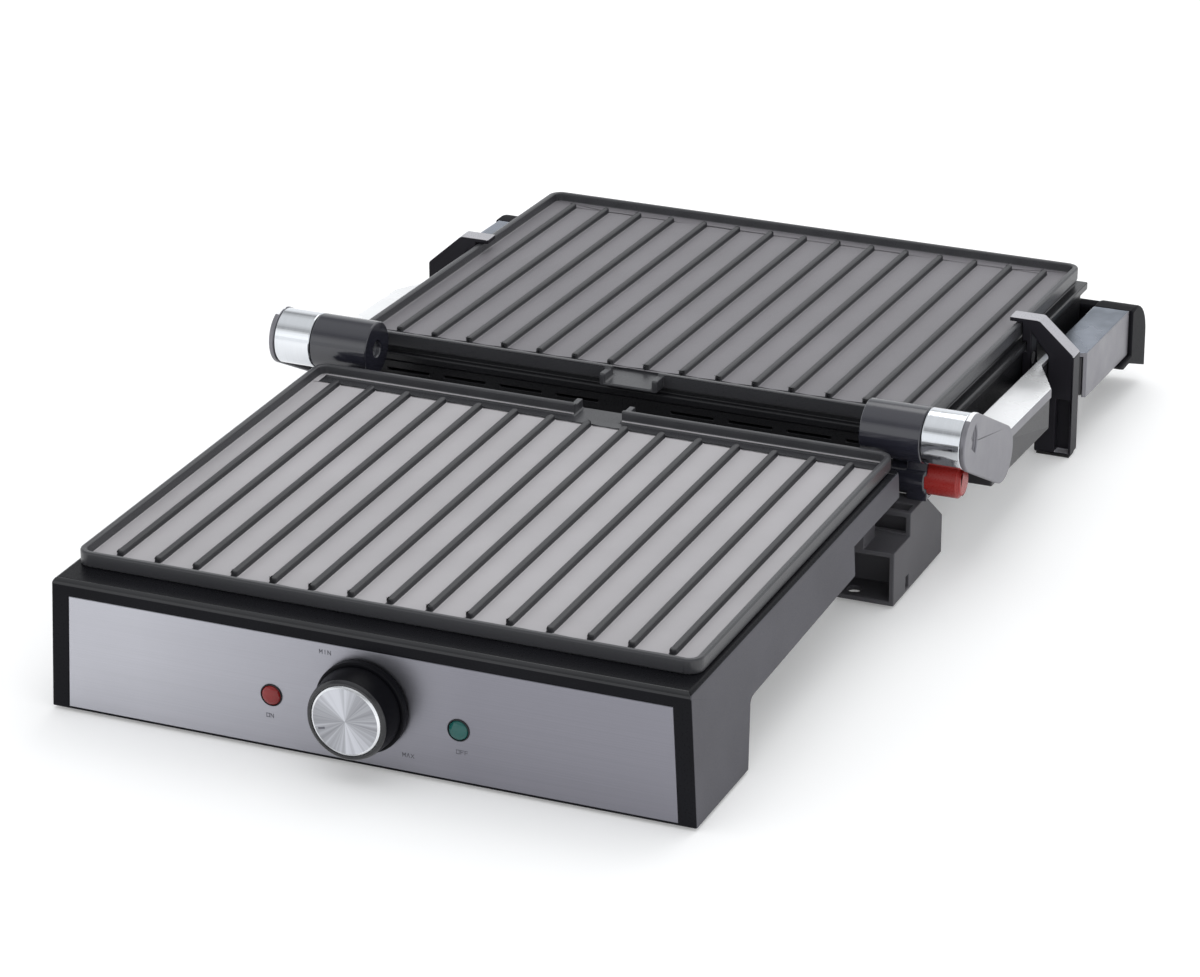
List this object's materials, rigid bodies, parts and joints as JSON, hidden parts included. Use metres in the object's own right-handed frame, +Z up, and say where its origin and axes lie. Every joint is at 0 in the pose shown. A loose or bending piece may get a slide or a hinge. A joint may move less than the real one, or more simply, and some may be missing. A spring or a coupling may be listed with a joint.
{
  "type": "contact grill",
  "caption": "Electric contact grill opened flat: ribbed plates, front control box with knob and lamps, side arms with a handle bar, and a floating lid",
  "frame": {"origin": "on the table, under the middle of the opened grill's footprint", "axes": "+X to the right seen from the control panel, +Y from the control panel to the back, +Z up"},
  "size_m": [0.358, 0.58, 0.087],
  "materials": {
    "shell": "satin",
    "black_plastic": "matte",
    "panel_steel": "brushed",
    "non_stick": "satin",
    "heater_metal": "satin",
    "bright_sheet": "satin",
    "ceramic": "matte",
    "lens_red": "gloss",
    "lens_green": "gloss",
    "button_red": "satin",
    "rubber": "matte",
    "screw_steel": "satin",
    "chrome": "polished",
    "silver_cover": "satin",
    "knob_metal": "spun"
  },
  "bodies": {
    "base": {"base_housing": "shell", "bottom_cover": "black_plastic", "front_panel": "panel_steel", "lower_plate": "non_stick", "lower_heater": "heater_metal", "lower_reflector": "bright_sheet", "lower_clips": "bright_sheet", "thermostat_body": "ceramic", "terminal_block": "ceramic", "thermal_fuse": "screw_steel", "lamp_holders": "ceramic", "red_lamp_lens": "lens_red", "green_lamp_lens": "lens_green", "rear_block_left": "shell", "rear_block_right": "shell", "hinge_post_left": "black_plastic", "hinge_post_right": "black_plastic", "cord_gland": "rubber", "front_feet": "rubber", "rear_feet": "rubber", "base_screws": "screw_steel", "post_screws": "screw_steel", "block_screws": "screw_steel", "release_spring": "screw_steel"},
    "knob": {"knob_skirt": "black_plastic", "knob_cap": "knob_metal", "thermostat_shaft": "screw_steel"},
    "release": {"release_button": "button_red"},
    "tray": {"drip_tray": "black_plastic"},
    "arms": {"hinge_shaft_left": "screw_steel", "hinge_shaft_right": "screw_steel", "knuckle_left": "chrome", "knuckle_right": "chrome", "arm_core_left": "black_plastic", "arm_core_right": "black_plastic", "arm_cover_left": "silver_cover", "arm_cover_right": "silver_cover", "handle_bar": "black_plastic", "handle_end_left": "black_plastic", "handle_end_right": "black_plastic", "handle_screws": "screw_steel"},
    "lid": {"upper_housing": "black_plastic", "lid_panel": "panel_steel", "upper_plate": "non_stick", "upper_heater": "heater_metal", "upper_reflector": "bright_sheet", "upper_clips": "bright_sheet", "lid_bracket_left": "black_plastic", "lid_bracket_right": "black_plastic", "bracket_pads": "rubber", "pivot_pin_left": "screw_steel", "pivot_pin_right": "screw_steel", "bracket_screws": "screw_steel"}
  },
  "joints": [
    {"name": "lid_hinge", "type": "hinge", "parent": "base", "child": "arms", "pos_m": [0, 0.009, 0.073], "axis": [1, 0, 0], "range_deg": [0, 181]},
    {"name": "lid_float", "type": "hinge", "parent": "arms", "child": "lid", "pos_m": [0, 0.178, 0.038], "axis": [1, 0, 0], "range_deg": [0, 3]},
    {"name": "knob_turn", "type": "hinge", "parent": "base", "child": "knob", "pos_m": [0, -0.283, 0.031], "axis": [0, 1, 0], "range_deg": [0, 270]},
    {"name": "release_press", "type": "slide", "parent": "base", "child": "release", "axis": [-1, 0, 0], "range_m": [0, 0.003], "stiffness_N_per_m": 600, "springref_m": -0.003, "deforming": ["release_spring"]},
    {"name": "tray_slide", "type": "slide", "parent": "base", "child": "tray", "axis": [0, 1, 0], "range_m": [0, 0.06]}
  ]
}
